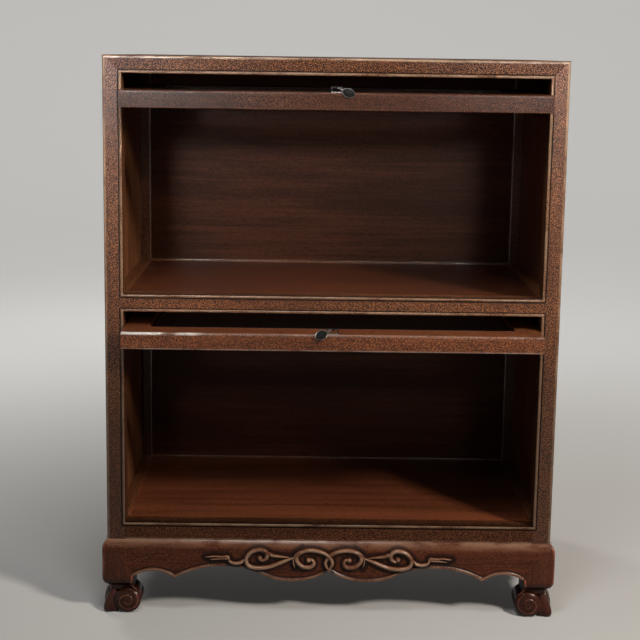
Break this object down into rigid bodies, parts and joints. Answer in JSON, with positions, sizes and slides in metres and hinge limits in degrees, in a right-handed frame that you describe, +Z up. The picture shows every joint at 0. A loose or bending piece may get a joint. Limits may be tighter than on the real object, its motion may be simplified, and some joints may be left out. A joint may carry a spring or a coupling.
{
  "type": "display cabinet",
  "caption": "Low hardwood display cabinet on a scroll-footed stand, with compartments whose framed doors lift level and slide back into pockets.",
  "frame": {"origin": "on the floor, at the middle of the plan of the part with both doors stowed", "axes": "+X to the viewer's right, +Y to the back, +Z up; the open front faces -Y"},
  "size_m": [0.804, 0.4842, 0.975],
  "materials": {
    "frame_wood": "oiled open-pored dark red-brown hardwood",
    "panel_wood": "oiled dark red-brown hardwood panel",
    "inner_wood": "unpolished dark hardwood",
    "pane_glass": "clear float glass",
    "pull_iron": "dark tarnished metal",
    "brass_fittings": "aged brass"
  },
  "bodies": {
    "cabinet": {"back_apron": "frame_wood", "back_left_leg": "frame_wood", "back_left_post": "frame_wood", "back_right_leg": "frame_wood", "back_right_post": "frame_wood", "bottom_back_rail": "frame_wood", "bottom_front_rail": "frame_wood", "bottom_left_rail": "frame_wood", "bottom_right_rail": "frame_wood", "floor_panel": "panel_wood", "front_apron": "frame_wood", "front_left_leg": "frame_wood", "front_left_post": "frame_wood", "front_right_leg": "frame_wood", "front_right_post": "frame_wood", "left_apron": "frame_wood", "lower_back_panel": "panel_wood", "lower_ball_catches": "brass_fittings", "lower_door_guides": "inner_wood", "lower_left_panel": "panel_wood", "lower_right_panel": "panel_wood", "middle_back_rail": "frame_wood", "middle_front_rail": "frame_wood", "middle_left_rail": "frame_wood", "middle_right_rail": "frame_wood", "panel_battens": "inner_wood", "right_apron": "frame_wood", "shelf_panel": "panel_wood", "top_back_rail": "frame_wood", "top_front_rail": "frame_wood", "top_left_rail": "frame_wood", "top_panel": "panel_wood", "top_right_rail": "frame_wood", "upper_back_panel": "panel_wood", "upper_ball_catches": "brass_fittings", "upper_door_guides": "inner_wood", "upper_left_panel": "panel_wood", "upper_right_panel": "panel_wood"},
    "upper_shoes": {"upper_door_shoes": "brass_fittings"},
    "upper_door": {"upper_door_left_stile": "frame_wood", "upper_door_right_stile": "frame_wood", "upper_door_bottom_rail": "frame_wood", "upper_door_top_rail": "frame_wood", "upper_door_pane": "pane_glass", "upper_door_glazing_beads": "inner_wood", "upper_door_pivot_pins": "brass_fittings", "upper_pull_plate": "pull_iron", "upper_pull_staple": "pull_iron"},
    "upper_pendant": {"upper_pull_pendant": "pull_iron"},
    "lower_shoes": {"lower_door_shoes": "brass_fittings"},
    "lower_door": {"lower_door_left_stile": "frame_wood", "lower_door_right_stile": "frame_wood", "lower_door_bottom_rail": "frame_wood", "lower_door_top_rail": "frame_wood", "lower_door_pane": "pane_glass", "lower_door_glazing_beads": "inner_wood", "lower_door_pivot_pins": "brass_fittings", "lower_pull_plate": "pull_iron", "lower_pull_staple": "pull_iron"},
    "lower_pendant": {"lower_pull_pendant": "pull_iron"}
  },
  "joints": [
    {"name": "upper_door_slide", "type": "slide", "parent": "cabinet", "child": "upper_shoes", "axis": [0, -1, 0], "range_m": [0, 0.2675]},
    {"name": "upper_door_swing", "type": "hinge", "parent": "upper_shoes", "child": "upper_door", "pos_m": [0, 0.09506, 0.9045], "axis": [1, 0, 0], "range_deg": [0, 90], "deforming": ["upper_ball_catches"]},
    {"name": "upper_pull_swing", "type": "hinge", "parent": "upper_door", "child": "upper_pendant", "pos_m": [0, -0.22934, 0.9275], "axis": [-1, 0, 0], "range_deg": [0, 250]},
    {"name": "lower_door_slide", "type": "slide", "parent": "cabinet", "child": "lower_shoes", "axis": [0, -1, 0], "range_m": [0, 0.2705]},
    {"name": "lower_door_swing", "type": "hinge", "parent": "lower_shoes", "child": "lower_door", "pos_m": [0, 0.09806, 0.5005], "axis": [1, 0, 0], "range_deg": [0, 90], "deforming": ["lower_ball_catches"]},
    {"name": "lower_pull_swing", "type": "hinge", "parent": "lower_door", "child": "lower_pendant", "pos_m": [0, -0.22934, 0.5235], "axis": [-1, 0, 0], "range_deg": [0, 250]}
  ]
}
